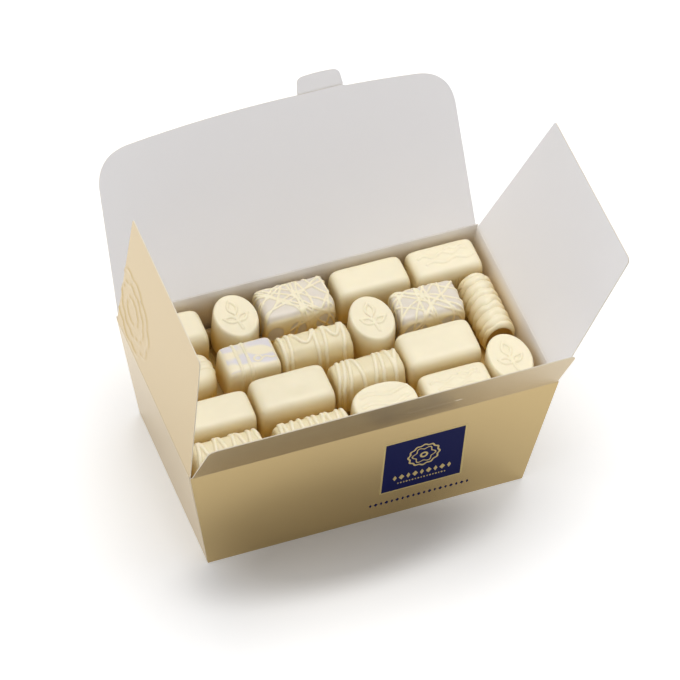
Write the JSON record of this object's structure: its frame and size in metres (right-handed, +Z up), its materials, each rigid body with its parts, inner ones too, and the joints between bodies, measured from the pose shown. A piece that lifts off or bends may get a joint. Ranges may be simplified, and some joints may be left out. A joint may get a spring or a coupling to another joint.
{
  "type": "box of chocolate pralines",
  "caption": "Open folding carton with flared walls, hinged lid with tuck tab, front flap and end flaps, filled with assorted white-chocolate pralines.",
  "frame": {"origin": "centre of the carton's base, on the surface that it stands on", "axes": "+X along the carton's length, to the right seen from the front; +Y to the rear, where the lid hangs; +Z up"},
  "size_m": [0.2222, 0.1792, 0.1577],
  "materials": {
    "gold_board": "satin",
    "white_chocolate": "satin",
    "drizzled_white_chocolate": "satin",
    "lilac_white_chocolate": "satin"
  },
  "bodies": {
    "box": {"carton": "gold_board", "lower_layers": "white_chocolate", "praline_r1_plain_log": "white_chocolate", "praline_r1_oval": "white_chocolate", "praline_r1_laced_block": "lilac_white_chocolate", "praline_r1_square_log": "white_chocolate", "praline_r1_fluted_block": "white_chocolate", "praline_r2_fluted_dome": "white_chocolate", "praline_r2_striped_block": "lilac_white_chocolate", "praline_r2_drizzled_barrel": "drizzled_white_chocolate", "praline_r2_oval": "white_chocolate", "praline_r2_laced_block": "lilac_white_chocolate", "praline_r2_twisted_roll": "drizzled_white_chocolate", "praline_r3_plain_log": "white_chocolate", "praline_r3_plain_block": "white_chocolate", "praline_r3_drizzled_barrel": "drizzled_white_chocolate", "praline_r3_wide_block": "white_chocolate", "praline_r3_oval": "white_chocolate", "praline_r4_drizzled_log": "drizzled_white_chocolate", "praline_r4_drizzled_barrel": "drizzled_white_chocolate", "praline_r4_wavy_oval": "white_chocolate", "praline_r4_fluted_block": "white_chocolate"},
    "lid": {"lid_panel": "gold_board"},
    "tab": {"tuck_tab": "gold_board"},
    "left": {"left_flap": "gold_board"},
    "right": {"right_flap": "gold_board"},
    "front": {"front_flap": "gold_board"}
  },
  "joints": [
    {"name": "lid_fold", "type": "hinge", "parent": "box", "child": "lid", "pos_m": [0, 0.0535, 0.075], "axis": [1, 0, 0], "range_deg": [-70.5, 124.5]},
    {"name": "front_flap_fold", "type": "hinge", "parent": "box", "child": "front", "pos_m": [0, -0.0535, 0.07435], "axis": [-1, 0, 0], "range_deg": [-81, 114]},
    {"name": "left_flap_fold", "type": "hinge", "parent": "box", "child": "left", "pos_m": [-0.095, 0, 0.0737], "axis": [0, 1, 0], "range_deg": [-107, 88]},
    {"name": "right_flap_fold", "type": "hinge", "parent": "box", "child": "right", "pos_m": [0.095, 0, 0.0737], "axis": [0, -1, 0], "range_deg": [-83, 112]},
    {"name": "tab_fold", "type": "hinge", "parent": "lid", "child": "tab", "pos_m": [0.0266, 0.10289, 0.14686], "axis": [-1, 0, 0], "range_deg": [-85, 30]}
  ]
}
